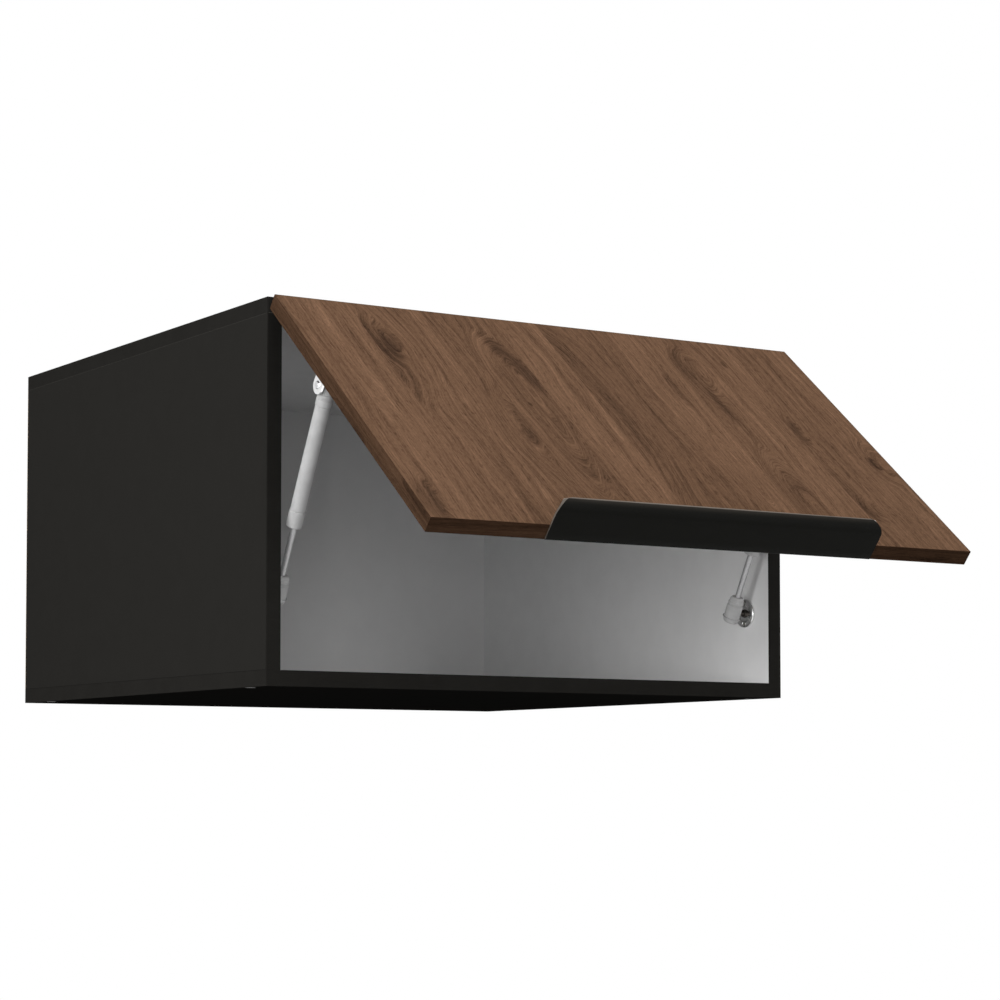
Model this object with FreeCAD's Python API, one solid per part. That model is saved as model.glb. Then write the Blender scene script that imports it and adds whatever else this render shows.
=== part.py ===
import FreeCAD, Part
import math
import os

# Lift-up wall cabinet, in millimetres. X runs left to right, the front faces -Y, +Z is up.
# The origin is on the wall, below the middle of the cabinet, level with its underside.
# The flap stands in its raised rest position.

Vector = FreeCAD.Vector

# Carcass
width = 600.0
height = 360.0
depth = 570.0
board = 15.0
band = 1.0
groove_deep = 6.0
back_thick = 3.0
wall_void = 13.0

# Flap
flap_width = 597.0
flap_height = 362.0
flap_thick = 15.0
flap_angle = 50.53
flap_top_y = -571.6
flap_top_z = 348.8

# Flap pivot, measured from the top inside corner of the flap
pivot_deep = 10.856
pivot_down = 4.994

# Hinges
hinge_x = 200.0
cup_radius = 17.5
cup_down = 19.8
cup_deep = 13.3
cup_slot_half = 3.4
cup_slot_top = 2.9
cup_slot_bottom = 28.0
cup_slot_deep = 12.95
cup_plate = 0.8
knuckle_half = 3.2
knuckle_radius = 1.95
hinge_pin_radius = 1.0
pin_clearance = 0.05
arm_low_z = 335.0
arm_high_z = 341.0

# Gas struts
strut_x = 267.6
lower_ball_y = -531.5
lower_ball_z = 89.4
upper_ball_down = 92.1
upper_ball_in = 23.7
ball_radius = 5.0
ball_clearance = 0.05
neck_radius = 2.5
mouth_radius = 4.3
rod_radius = 3.0
tube_radius = 7.5
tube_bore = 6.5
cap_radius = 8.0
tube_low = 68.6
cap_low = 67.1
cap_high = 83.7
tube_high = 187.1
collar_high = 193.4
stud_gap = 0.4

# Handle
handle_half = 180.0
handle_thick = 1.5
lip_thick = 2.0
lip_radius = 13.07
lip_turn = 66.7
lip_flat = 28.0
handle_corner = 15.0
leg_high = 22.0
leg_thick = 1.4

half = width / 2
inner_x = half - board
front_y = -depth
inner_top = height - board


def block(x0, x1, y0, y1, z0, z1):
    """A box between two corners."""
    return Part.makeBox(x1 - x0, y1 - y0, z1 - z0, Vector(x0, y0, z0))


def bar(radius, start, end):
    """A round bar from one point to another."""
    start = Vector(*start)
    end = Vector(*end)
    return Part.makeCylinder(radius, (end - start).Length, start, end - start)


def cone(start_radius, end_radius, start, end):
    """A round taper from one point to another."""
    start = Vector(*start)
    end = Vector(*end)
    return Part.makeCone(start_radius, end_radius, (end - start).Length, start, end - start)


def ball(radius, x=0.0, y=0.0, z=0.0):
    """A sphere whose seam and poles lie clear of a neck on its +X side."""
    sphere = Part.makeSphere(radius)
    sphere.rotate(Vector(0, 0, 0), Vector(0, 0, 1), 180)
    sphere.translate(Vector(x, y, z))
    return sphere


def turned(points):
    """A solid turned about the Z axis from an outline of (radius, height) points."""
    corners = [Vector(radius, 0, z) for radius, z in points]
    outline = Part.makePolygon(corners + [corners[0]])
    return Part.Face(outline).revolve(Vector(0, 0, 0), Vector(0, 0, 1), 360)


def sheet(points, x0, x1):
    """A solid drawn along X from an outline of (y, z) points."""
    corners = [Vector(x0, y, z) for y, z in points]
    outline = Part.makePolygon(corners + [corners[0]])
    return Part.Face(outline).extrude(Vector(x1 - x0, 0, 0))


def moved(shape, x=0.0, y=0.0, z=0.0):
    """A copy of the shape, shifted."""
    copy = shape.copy()
    copy.translate(Vector(x, y, z))
    return copy


def mirrored(shape):
    """The same piece for the other side of the cabinet."""
    return shape.mirror(Vector(0, 0, 0), Vector(1, 0, 0))


def cut_all(shape, tools):
    """The shape less every tool."""
    for tool in tools:
        shape = shape.cut(tool)
    return shape


def on_flap(shape):
    """From the flap's own frame to its raised place.

    In that frame the origin is the top inside edge, +Y points into the cabinet and -Z down the flap.
    """
    copy = shape.copy()
    turn = FreeCAD.Rotation(Vector(1, 0, 0), -flap_angle)
    copy.Placement = FreeCAD.Placement(Vector(0, flap_top_y, flap_top_z), turn).multiply(copy.Placement)
    return copy


def flap_point(down, inward):
    """The place in the cabinet, as (y, z), of a point on the flap."""
    place = on_flap(Part.Vertex(0, inward, -down)).BoundBox
    return place.Center.y, place.Center.z


def save(name, solids):
    """Write one piece, or one group of like pieces."""
    shape = solids[0] if len(solids) == 1 else Part.makeCompound(solids)
    shape.exportStep("parts/" + name + ".step")


os.makedirs("parts", exist_ok=True)

pivot_y, pivot_z = flap_point(pivot_down, -pivot_deep)
upper_ball_y, upper_ball_z = flap_point(upper_ball_down, upper_ball_in)
strut_length = math.hypot(upper_ball_y - lower_ball_y, upper_ball_z - lower_ball_z)
strut_tilt = math.degrees(math.atan2(lower_ball_y - upper_ball_y, upper_ball_z - lower_ball_z))
print("flap pivot", round(pivot_y, 3), round(pivot_z, 3))
print("upper ball", round(upper_ball_y, 3), round(upper_ball_z, 3))
print("strut length and tilt", round(strut_length, 3), round(strut_tilt, 3))


def on_strut(shape):
    """From the strut's own frame to its place on the right side.

    In that frame the lower ball is the origin, +Z runs up the strut and +X towards the side panel.
    """
    copy = shape.copy()
    turn = FreeCAD.Rotation(Vector(1, 0, 0), strut_tilt)
    place = Vector(strut_x, lower_ball_y, lower_ball_z)
    copy.Placement = FreeCAD.Placement(place, turn).multiply(copy.Placement)
    return copy


# Joint screws: a head under a flush cap, and a shank down into the end of a side panel
screw_places = [(side * (half - board / 2), y) for side in (-1, 1) for y in (front_y + 45, -55)]
dowel_places = [(side * (half - board / 2), y) for side in (-1, 1) for y in (front_y + 95, -105)]
joint_screws = []
joint_caps = []
for x, y in screw_places:
    for outside, inward in ((height, -1), (0.0, 1)):
        head = bar(4.8, (x, y, outside + 0.8 * inward), (x, y, outside + 4 * inward))
        shank = bar(2.5, (x, y, outside + 4 * inward), (x, y, outside + 50 * inward))
        joint_screws.append(head.fuse(shank))
        joint_caps.append(bar(5.0, (x, y, outside), (x, y, outside + 0.8 * inward)))
dowels = []
for x, y in dowel_places:
    for seam, outward in ((inner_top, 1), (board, -1)):
        dowels.append(bar(4.0, (x, y, seam + 10 * outward), (x, y, seam - 20 * outward)))
cap_holes = [bar(5.0, (x, y, z - 4), (x, y, z + 4)) for x, y in screw_places for z in (0.0, height)]

# Back panel, let into a groove all round, with notches for the two hanger hooks
back_front = -wall_void - back_thick
hook_notch = block(266, 284, back_front - 1, -wall_void + 1, 320, 338)
back_panel = block(-inner_x - groove_deep, inner_x + groove_deep, back_front, -wall_void,
                   board - groove_deep, inner_top + groove_deep)

# Dished steel plate with a ball stud, screwed to the side panel under the strut's lower end
wall_plate_face = inner_x - 2.5
plate_screws = []
for offset in (-10.8, 10.8):
    z = lower_ball_z + offset
    head = cone(1.5, 2.75, (inner_x - 1.0, lower_ball_y, z), (wall_plate_face, lower_ball_y, z))
    shank = bar(1.5, (inner_x + 11, lower_ball_y, z), (inner_x - 1.0, lower_ball_y, z))
    plate_screws.append(head.fuse(shank))
wall_plate = bar(15.0, (inner_x, lower_ball_y, lower_ball_z), (wall_plate_face, lower_ball_y, lower_ball_z))
rim = [edge for edge in wall_plate.Edges
       if abs(edge.BoundBox.Center.x - wall_plate_face) < 0.01 and edge.Closed]
wall_plate = wall_plate.makeFillet(0.8, rim)
dish = cone(8.5, 7.5, (wall_plate_face, lower_ball_y, lower_ball_z),
            (wall_plate_face + 0.9, lower_ball_y, lower_ball_z))
collar = bar(4.0, (wall_plate_face + 0.9, lower_ball_y, lower_ball_z),
             (wall_plate_face - 1.5, lower_ball_y, lower_ball_z))
stub_end = strut_x + 8.4 + stud_gap
stub = bar(neck_radius, (wall_plate_face, lower_ball_y, lower_ball_z), (stub_end, lower_ball_y, lower_ball_z))
wall_plate = cut_all(wall_plate.cut(dish).fuse(collar).fuse(stub).removeSplitter(), plate_screws)

# Hangers in the two top rear corners, with the hook that passes through the back panel
hanger_y = -60.0
hanger_screws = [bar(2.0, (inner_x - 1.5, hanger_y + 12, z), (inner_x + 10, hanger_y + 12, z)).fuse(
    bar(4.0, (inner_x - 4, hanger_y + 12, z), (inner_x - 1.5, hanger_y + 12, z))) for z in (292.0, 340.0)]
adjusters = [bar(3.0, (275, hanger_y - 1.2, z), (275, hanger_y + 8, z)) for z in (304.0, 328.0)]
slots = [block(274.5, 275.5, hanger_y - 1.2, hanger_y - 0.4, z - 2.4, z + 2.4) for z in (304.0, 328.0)]
hanger_housing = block(265, inner_x, hanger_y, back_front, 284, 344)
hanger_housing = hanger_housing.makeFillet(2.0, [edge for edge in hanger_housing.Edges
                                                if abs(edge.BoundBox.Center.x - 265) < 0.01])
hook_space = block(268, 282, hanger_y + 10, back_front, 322, 337)
hanger_housing = cut_all(hanger_housing, [hook_space] + adjusters + hanger_screws)
hanger_hook = sheet([(-49, 324), (-46, 324), (-46, 330.2), (-0.7 - 2, 330.2), (-0.7 - 2, 321.5),
                     (-0.7, 321.5), (-0.7, 333.2), (-49, 333.2)], 268.5, 281.5)

# Wall rail: a folded steel strip screwed to the wall, with a raised lip for the hooks
rail_bolts_x = 200.0
rail_bolt_z = 307.0
wall_rail = sheet([(0, 296), (0, 320), (-3, 320), (-3, 330), (-5, 330), (-5, 318), (-2, 318), (-2, 296)],
                  -283, 283)
wall_rail = cut_all(wall_rail, [bar(3.5, (side * rail_bolts_x, -3, rail_bolt_z),
                                    (side * rail_bolts_x, 1, rail_bolt_z)) for side in (-1, 1)])

# Hinge plates under the top panel, and the cranked arms that carry the flap
plate_y = front_y + 37
hinge_plate = block(-25, 25, plate_y - 9, plate_y + 9, inner_top - 2, inner_top)
hinge_seat = block(-8, 8, plate_y - 12, plate_y + 20, arm_high_z, inner_top)
hinge_plate = hinge_plate.fuse(hinge_seat).removeSplitter()
hinge_screws = []
for x in (-16.5, 16.5):
    head = cone(3.5, 1.8, (x, plate_y, inner_top - 3.6), (x, plate_y, inner_top - 1.6))
    shank = bar(1.8, (x, plate_y, inner_top - 1.6), (x, plate_y, inner_top + 11))
    hinge_screws.append(head.fuse(shank))
hinge_plate = cut_all(hinge_plate, hinge_screws)
arm_outline = [(pivot_y - 1.8, pivot_z), (pivot_y - 1.8, arm_low_z + 3), (pivot_y + 1.2, arm_low_z),
               (plate_y + 18, arm_low_z), (plate_y + 20, arm_low_z + 2), (plate_y + 20, arm_high_z),
               (pivot_y + 4.2, arm_high_z), (pivot_y + 2.2, arm_high_z + 2), (pivot_y + 1.9, pivot_z)]
hinge_arm = sheet(arm_outline, -knuckle_half, knuckle_half)
knuckle = bar(knuckle_radius, (-knuckle_half, pivot_y, pivot_z), (knuckle_half, pivot_y, pivot_z))
pin_bore = bar(hinge_pin_radius + pin_clearance, (-9, pivot_y, pivot_z), (9, pivot_y, pivot_z))
hinge_arm = hinge_arm.fuse(knuckle).removeSplitter().cut(pin_bore)

# Carcass panels: the top and bottom run over the ends of the sides
side_panel = block(inner_x, half, front_y + band, 0, board, inner_top)
top_panel = block(-half + band, half - band, front_y + band, 0, inner_top, height)
bottom_panel = block(-half + band, half - band, front_y + band, 0, 0, board)
joinery = joint_screws + dowels
right_side = cut_all(side_panel, [back_panel] + joinery + plate_screws + hanger_screws)
both_hinge_screws = [moved(screw, x=side * hinge_x) for side in (-1, 1) for screw in hinge_screws]
top_panel = cut_all(top_panel, [back_panel] + joinery + cap_holes + both_hinge_screws)
bottom_panel = cut_all(bottom_panel, [back_panel] + joinery + cap_holes)
back_panel = cut_all(back_panel, [hook_notch, mirrored(hook_notch)])
save("right_side_panel", [right_side])
save("left_side_panel", [mirrored(right_side)])
save("top_panel", [top_panel])
save("bottom_panel", [bottom_panel])
save("back_panel", [back_panel])

# Edge bands: along the front of all four panels, and on the open ends of the top and bottom
front_bands = [block(-half, half, front_y, front_y + band, z, z + board) for z in (0, inner_top)]
front_bands += [block(x, x + board, front_y, front_y + band, board, inner_top) for x in (-half, inner_x)]
end_bands = [block(x, x + band, front_y + band, 0, z, z + board)
             for x in (-half, half - band) for z in (0, inner_top)]
save("front_edge_bands", front_bands)
save("panel_end_bands", end_bands)
save("corner_dowels", dowels)
save("joint_screws", joint_screws)
save("joint_screw_caps", joint_caps)

# Hangers and rail
save("right_hanger_housing", [hanger_housing])
save("left_hanger_housing", [mirrored(hanger_housing)])
save("hanger_hooks", [hanger_hook, mirrored(hanger_hook)])
save("hanger_screws", hanger_screws + [mirrored(screw) for screw in hanger_screws])
slotted = [screw.cut(slot) for screw, slot in zip(adjusters, slots)]
save("hanger_adjusters", slotted + [mirrored(screw) for screw in slotted])
save("wall_rail", [wall_rail])

# Hinge halves on the carcass
save("right_hinge_plate", [moved(hinge_plate, x=hinge_x)])
save("left_hinge_plate", [moved(hinge_plate, x=-hinge_x)])
save("hinge_plate_screws", both_hinge_screws)
save("right_hinge_arm", [moved(hinge_arm, x=hinge_x)])
save("left_hinge_arm", [moved(hinge_arm, x=-hinge_x)])

# Strut plates on the carcass
save("right_strut_wall_plate", [wall_plate])
save("left_strut_wall_plate", [mirrored(wall_plate)])
save("wall_plate_screws", plate_screws + [mirrored(screw) for screw in plate_screws])

# Hinge cups in the flap: a round body with a slot for the arm and a thin screw plate
cup = bar(cup_radius, (0, 0, -cup_down), (0, -cup_deep, -cup_down))
cup_flange = bar(cup_radius + 1.5, (0, 0, -cup_down), (0, cup_plate, -cup_down))
cup_flange = cup_flange.fuse(block(-24, 24, 0, cup_plate, -cup_down - 8, -cup_down + 8))
for x in (-24, 24):
    cup_flange = cup_flange.fuse(bar(8.0, (x, 0, -cup_down), (x, cup_plate, -cup_down)))
cup_flange = cup_flange.cut(block(-40, 40, -1, 2, -6, 5))
cup_slot = block(-cup_slot_half, cup_slot_half, -cup_slot_deep, 5, -cup_slot_bottom, -cup_slot_top)
hinge_pin = bar(hinge_pin_radius, (-6, -pivot_deep, -pivot_down), (6, -pivot_deep, -pivot_down))
cup_screws = []
for x in (-24, 24):
    head = bar(3.2, (x, cup_plate, -cup_down), (x, cup_plate + 1.3, -cup_down))
    shank = bar(1.6, (x, cup_plate, -cup_down), (x, -10, -cup_down))
    cup_screws.append(head.fuse(shank))
hinge_cup = cut_all(cup.fuse(cup_flange).removeSplitter(), [cup_slot, hinge_pin] + cup_screws)
cup_bore = bar(cup_radius, (0, 1, -cup_down), (0, -cup_deep, -cup_down))

# Handle: a folded edge profile under the flap's lower edge, its lip curved up along the front
bend = math.radians(lip_turn)
outer = flap_height + handle_thick
lip_centre = Vector(0, -lip_flat, -outer + lip_radius)


def lip_point(radius, angle):
    """A point on the bend of the lip, counted from straight down."""
    return lip_centre + Vector(0, -radius * math.sin(angle), -radius * math.cos(angle))


inside = lip_radius - lip_thick
section = [
    Part.makeLine(Vector(0, 0, -flap_height + leg_high), Vector(0, 0, -outer)),
    Part.makeLine(Vector(0, 0, -outer), lip_point(lip_radius, 0)),
    Part.Arc(lip_point(lip_radius, 0), lip_point(lip_radius, bend / 2), lip_point(lip_radius, bend)).toShape(),
    Part.makeLine(lip_point(lip_radius, bend), lip_point(inside, bend)),
    Part.Arc(lip_point(inside, bend), lip_point(inside, bend / 2), lip_point(inside, 0)).toShape(),
    Part.makeLine(lip_point(inside, 0), Vector(0, -flap_thick - 4, -outer + lip_thick)),
    Part.makeLine(Vector(0, -flap_thick - 4, -outer + lip_thick), Vector(0, -flap_thick - 1, -flap_height)),
    Part.makeLine(Vector(0, -flap_thick - 1, -flap_height), Vector(0, -leg_thick, -flap_height)),
    Part.makeLine(Vector(0, -leg_thick, -flap_height), Vector(0, -leg_thick, -flap_height + leg_high)),
    Part.makeLine(Vector(0, -leg_thick, -flap_height + leg_high), Vector(0, 0, -flap_height + leg_high)),
]
handle = Part.Face(Part.Wire(section)).extrude(Vector(2 * handle_half, 0, 0))
handle = moved(handle, x=-handle_half)
lip_front = -lip_flat - lip_radius * math.sin(bend) - 0.6
plan = block(-handle_half, handle_half, lip_front, 1, -flap_height - 5, -flap_height + leg_high + 5)
corners = [edge for edge in plan.Edges
           if abs(edge.BoundBox.Center.y - lip_front) < 0.01 and edge.BoundBox.ZLength > 10]
handle = handle.common(plan.makeFillet(handle_corner, corners))
handle_screws = []
for x in (-150, -50, 50, 150):
    z = -flap_height + 11
    head = cone(2.8, 1.5, (x, 0, z), (x, -leg_thick, z))
    shank = bar(1.5, (x, -leg_thick, z), (x, -12, z))
    handle_screws.append(head.fuse(shank))
handle = cut_all(handle, handle_screws)
leg_rebate = block(-handle_half, handle_half, -leg_thick, 1, -flap_height - 1, -flap_height + leg_high)

# Brackets on the flap's inner face that hold the upper ball studs
bracket_x = strut_x + 9.0
bracket_base = block(strut_x - 13, bracket_x + 2, 0, 2, -upper_ball_down - 15, -upper_ball_down + 15)
bracket_base = bracket_base.makeFillet(3.0, [edge for edge in bracket_base.Edges
                                            if edge.BoundBox.YLength > 1.9 and edge.BoundBox.Center.x < strut_x])
bracket_ear = block(bracket_x, bracket_x + 2, 0, upper_ball_in, -upper_ball_down - 8.5, -upper_ball_down + 8.5)
bracket_eye = bar(8.5, (bracket_x, upper_ball_in, -upper_ball_down),
                  (bracket_x + 2, upper_ball_in, -upper_ball_down))
bracket = bracket_base.fuse(bracket_ear).fuse(bracket_eye).removeSplitter()
bracket_screws = []
for offset in (-10.5, 10.5):
    z = -upper_ball_down + offset
    head = cone(2.9, 1.5, (strut_x - 5, 2, z), (strut_x - 5, 0.6, z))
    shank = bar(1.5, (strut_x - 5, 0.6, z), (strut_x - 5, -11, z))
    bracket_screws.append(head.fuse(shank))
ball_place = (strut_x, upper_ball_in, -upper_ball_down)
upper_stud = ball(ball_radius, *ball_place)
upper_stud = upper_stud.fuse(bar(neck_radius, ball_place, (bracket_x, upper_ball_in, -upper_ball_down)))
upper_stud = upper_stud.fuse(bar(2.0, (bracket_x - 1, upper_ball_in, -upper_ball_down),
                                 (bracket_x + 2, upper_ball_in, -upper_ball_down)))
upper_stud = upper_stud.fuse(cone(4.0, 3.0, (bracket_x + 2, upper_ball_in, -upper_ball_down),
                                  (bracket_x + 3.4, upper_ball_in, -upper_ball_down))).removeSplitter()
bracket = cut_all(bracket, bracket_screws + [upper_stud])

# Flap board and its four edge bands
flap_half = flap_width / 2
flap_board = block(-flap_half + band, flap_half - band, -flap_thick, 0, -flap_height + band, -band)
flap_bands = [block(-flap_half, flap_half, -flap_thick, 0, z, z + band) for z in (-flap_height, -band)]
flap_bands += [block(x, x + band, -flap_thick, 0, -flap_height + band, -band)
               for x in (-flap_half, flap_half - band)]
flap_bands = [strip.cut(leg_rebate) for strip in flap_bands]
both_cup_screws = [moved(screw, x=side * hinge_x) for side in (-1, 1) for screw in cup_screws]
both_bracket_screws = bracket_screws + [mirrored(screw) for screw in bracket_screws]
both_bores = [moved(cup_bore, x=side * hinge_x) for side in (-1, 1)]
flap_board = cut_all(flap_board, both_bores + [leg_rebate] + handle_screws + both_cup_screws
                     + both_bracket_screws)
bumpers = [bar(4.0, (x, 0, -flap_height + 10), (x, 1.2, -flap_height + 10)) for x in (-275, 275)]
save("flap_panel", [on_flap(flap_board)])
save("flap_edge_bands", [on_flap(strip) for strip in flap_bands])
save("flap_bumpers", [on_flap(pad) for pad in bumpers])
save("handle_profile", [on_flap(handle)])
save("handle_screws", [on_flap(screw) for screw in handle_screws])
save("right_hinge_cup", [on_flap(moved(hinge_cup, x=hinge_x))])
save("left_hinge_cup", [on_flap(moved(hinge_cup, x=-hinge_x))])
save("hinge_pins", [on_flap(moved(hinge_pin, x=side * hinge_x)) for side in (-1, 1)])
save("hinge_cup_screws", [on_flap(screw) for screw in both_cup_screws])
save("right_strut_bracket", [on_flap(bracket)])
save("left_strut_bracket", [on_flap(mirrored(bracket))])
save("strut_bracket_screws", [on_flap(screw) for screw in both_bracket_screws])
save("right_upper_ball_stud", [on_flap(upper_stud)])
save("left_upper_ball_stud", [on_flap(mirrored(upper_stud))])

# Gas strut, drawn in its own frame. The lower socket, rod and piston slide in the tube.
cavity = ball(ball_radius + ball_clearance)
mouth = bar(mouth_radius, (0, 0, 0), (12, 0, 0))
lower_socket = turned([(0, -10.2), (6.4, -10.2), (8.4, -8.2), (8.4, 9.0), (7.5, 9.5), (7.5, 10.6), (8.2, 11.0),
                       (8.2, 12.6), (7.4, 13.2), (7.4, 16.4), (6.0, 18.2), (0, 18.2)])
rod = bar(rod_radius, (0, 0, 10), (0, 0, 98))
lower_socket = cut_all(lower_socket, [cavity, mouth, rod])
lower_ball = ball(ball_radius)
lower_ball = lower_ball.fuse(bar(neck_radius, (0, 0, 0), (8.4, 0, 0))).removeSplitter()
piston = turned([(rod_radius, 88), (6.4, 88), (6.4, 90.5), (5.4, 90.8), (5.4, 92.2), (6.4, 92.5), (6.4, 95),
                 (rod_radius, 95)])


def clip(height_up):
    """A sprung wire ring that keeps a socket on its ball, open towards the side panel."""
    wire = Part.makeTorus(9.05, 0.55, Vector(0, 0, height_up), Vector(0, 0, 1), 0, 360, 250)
    wire.rotate(Vector(0, 0, 0), Vector(0, 0, 1), 55)
    return wire


tube = turned([(0, 185), (tube_bore, 185), (tube_bore, tube_low), (tube_radius, tube_low),
               (tube_radius, tube_high - 0.8), (tube_radius - 0.8, tube_high), (cap_radius, tube_high),
               (cap_radius, collar_high), (rod_radius, collar_high), (rod_radius, collar_high + 5),
               (0, collar_high + 5)])
tube_cap = turned([(rod_radius + 0.1, cap_low), (cap_radius - 1, cap_low), (cap_radius, cap_low + 1),
                   (cap_radius, cap_high - 0.4), (tube_radius, cap_high), (tube_radius, tube_low),
                   (rod_radius + 0.1, tube_low)])
rod_guide = turned([(rod_radius + 0.08, tube_low + 1), (tube_bore, tube_low + 1), (tube_bore, 80),
                    (rod_radius + 0.08, 80)])
upper = strut_length
upper_socket = turned([(0, upper - 12.9), (8.0, upper - 12.9), (8.0, upper - 9.6), (7.4, upper - 9.2),
                       (7.4, upper - 8.0), (8.4, upper - 7.5), (8.4, upper + 8.2), (6.4, upper + 10.2),
                       (0, upper + 10.2)])
upper_socket = cut_all(upper_socket, [moved(cavity, z=upper), moved(mouth, z=upper), tube])
strut_pieces = {
    "strut_rod": rod,
    "strut_piston": piston,
    "lower_socket": lower_socket,
    "lower_clip": clip(-4.5),
    "lower_ball": lower_ball,
    "strut_tube": tube,
    "strut_tube_cap": tube_cap,
    "rod_guide": rod_guide,
    "upper_socket": upper_socket,
    "upper_clip": clip(upper + 4.5),
}
for name, piece in strut_pieces.items():
    placed = on_strut(piece)
    save("right_" + name, [placed])
    save("left_" + name, [mirrored(placed)])
print("nodes", len(os.listdir("parts")))
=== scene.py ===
import math

import bmesh
import bpy
from mathutils import Matrix, Vector


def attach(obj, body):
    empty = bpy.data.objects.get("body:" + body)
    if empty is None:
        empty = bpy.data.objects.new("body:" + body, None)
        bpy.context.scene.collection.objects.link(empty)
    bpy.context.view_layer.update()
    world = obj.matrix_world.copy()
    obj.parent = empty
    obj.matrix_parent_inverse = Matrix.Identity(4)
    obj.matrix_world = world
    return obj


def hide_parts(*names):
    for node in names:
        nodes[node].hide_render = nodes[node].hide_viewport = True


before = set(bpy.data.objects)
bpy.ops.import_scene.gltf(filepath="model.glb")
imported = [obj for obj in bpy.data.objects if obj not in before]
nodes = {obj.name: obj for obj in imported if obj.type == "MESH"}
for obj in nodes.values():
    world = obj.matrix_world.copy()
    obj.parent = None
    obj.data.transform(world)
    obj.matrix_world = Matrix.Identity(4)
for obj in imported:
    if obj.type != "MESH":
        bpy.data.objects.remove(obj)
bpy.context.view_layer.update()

# Carcass boards: 15 mm chipboard faced with matt melamine paper, black outside and white inside.
# The top and bottom run over the ends of the sides and are screwed and dowelled down onto them.
# The rear edges are left raw, because they stand against the wall.


class Tone:
    """A socket in a node tree. Arithmetic on tones adds the Math nodes that work it out."""

    def __init__(self, tree, socket):
        self.tree = tree
        self.socket = socket

    def node(self, kind, settings, inputs, output=0):
        """Any other node, from its type, its settings, and the values or tones on its sockets."""
        made = self.tree.nodes.new("ShaderNode" + kind)
        for name, value in settings.items():
            if name == "stops":
                ramp = made.color_ramp.elements
                while len(ramp) < len(value):
                    ramp.new(0.5)
                for stop, (place, colour) in zip(ramp, value):
                    stop.position = place
                    stop.color = (*colour, 1)
            else:
                setattr(made, name, value)
        for key, value in inputs.items():
            if isinstance(value, Tone):
                self.tree.links.new(value.socket, made.inputs[key])
            elif isinstance(value, tuple) and made.inputs[key].type == "RGBA":
                made.inputs[key].default_value = (*value, 1)
            else:
                made.inputs[key].default_value = value
        return Tone(self.tree, made.outputs[output])

    def maths(self, operation, *values):
        return self.node("Math", {"operation": operation}, dict(enumerate(values)))

    def __add__(self, other):
        return self.maths("ADD", self, other)

    def __radd__(self, other):
        return self.maths("ADD", other, self)

    def __sub__(self, other):
        return self.maths("SUBTRACT", self, other)

    def __rsub__(self, other):
        return self.maths("SUBTRACT", other, self)

    def __mul__(self, other):
        return self.maths("MULTIPLY", self, other)

    def __rmul__(self, other):
        return self.maths("MULTIPLY", other, self)

    def __gt__(self, other):
        return self.maths("GREATER_THAN", self, other)

    def __lt__(self, other):
        return self.maths("LESS_THAN", self, other)

    def __abs__(self):
        return self.maths("ABSOLUTE", self)

    def step(self, low, high, start=0.0, end=1.0):
        """A smooth change from start to end as the tone goes from low to high."""
        return self.node("MapRange", {"interpolation_type": "SMOOTHSTEP"},
                         {0: self, 1: low, 2: high, 3: start, 4: end})

    def blend(self, low, high, how="MIX"):
        """The colour low where the tone is 0 and high where it is 1."""
        return self.node("Mix", {"data_type": "RGBA", "blend_type": how}, {0: self, 6: low, 7: high}, 2)

    def ramp(self, *stops):
        return self.node("ValToRGB", {"stops": stops}, {0: self})

    def noise(self, scale, detail=2.0, roughness=0.5):
        """Cloudy noise from a place, with its clouds per unit along X, Y and Z."""
        stretched = self.node("VectorMath", {"operation": "MULTIPLY"}, {0: self, 1: scale})
        return self.node("TexNoise", {}, {"Vector": stretched, "Scale": 1.0, "Detail": detail,
                                          "Roughness": roughness})


class Finish:
    """A material with its shader, and the place on the cabinet that its pattern is worked out from."""

    def __init__(self, name, shine):
        self.material = bpy.data.materials.new(name)
        self.material.use_nodes = True
        self.tree = self.material.node_tree
        self.shader = self.tree.nodes["Principled BSDF"]
        self.place = Tone(self.tree, None).node("TexCoord", {}, {}, "Object")
        self.set(Specular_IOR_Level=shine)

    def axes(self):
        """The place's X, Y and Z."""
        split = self.place.node("SeparateXYZ", {}, {0: self.place}).socket.node
        return [Tone(self.tree, output) for output in split.outputs]

    def joined(self, x, y, z):
        return self.place.node("CombineXYZ", {}, {0: x, 1: y, 2: z})

    def set(self, **values):
        """Put colours, numbers or tones on the shader's sockets."""
        for name, value in values.items():
            socket = self.shader.inputs[name.replace("_", " ")]
            if isinstance(value, Tone):
                self.tree.links.new(value.socket, socket)
            elif isinstance(value, tuple):
                socket.default_value = (*value, 1)
            else:
                socket.default_value = value

    def relief(self, height, deep, edge=0.0):
        """Bump from a height, so many metres deep, over edges rounded to a radius."""
        inputs = {"Height": height, "Distance": deep, "Strength": 1.0}
        if edge:
            inputs["Normal"] = self.place.node("Bevel", {"samples": 6}, {"Radius": edge})
        self.set(Normal=self.place.node("Bump", {}, inputs))


def rgb(*parts):
    """A screen colour, each part from 0 to 255, as the light it stands for."""
    return tuple(((part / 255 + 0.055) / 1.055) ** 2.4 for part in parts)


def finish_nodes(finish, *names):
    """Give CAD pieces a finish in place of their plain one."""
    for name in names:
        slots = nodes[name].data.materials
        if not slots:
            slots.append(finish.material)
        for number in range(len(slots)):
            slots[number] = finish.material


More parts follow.
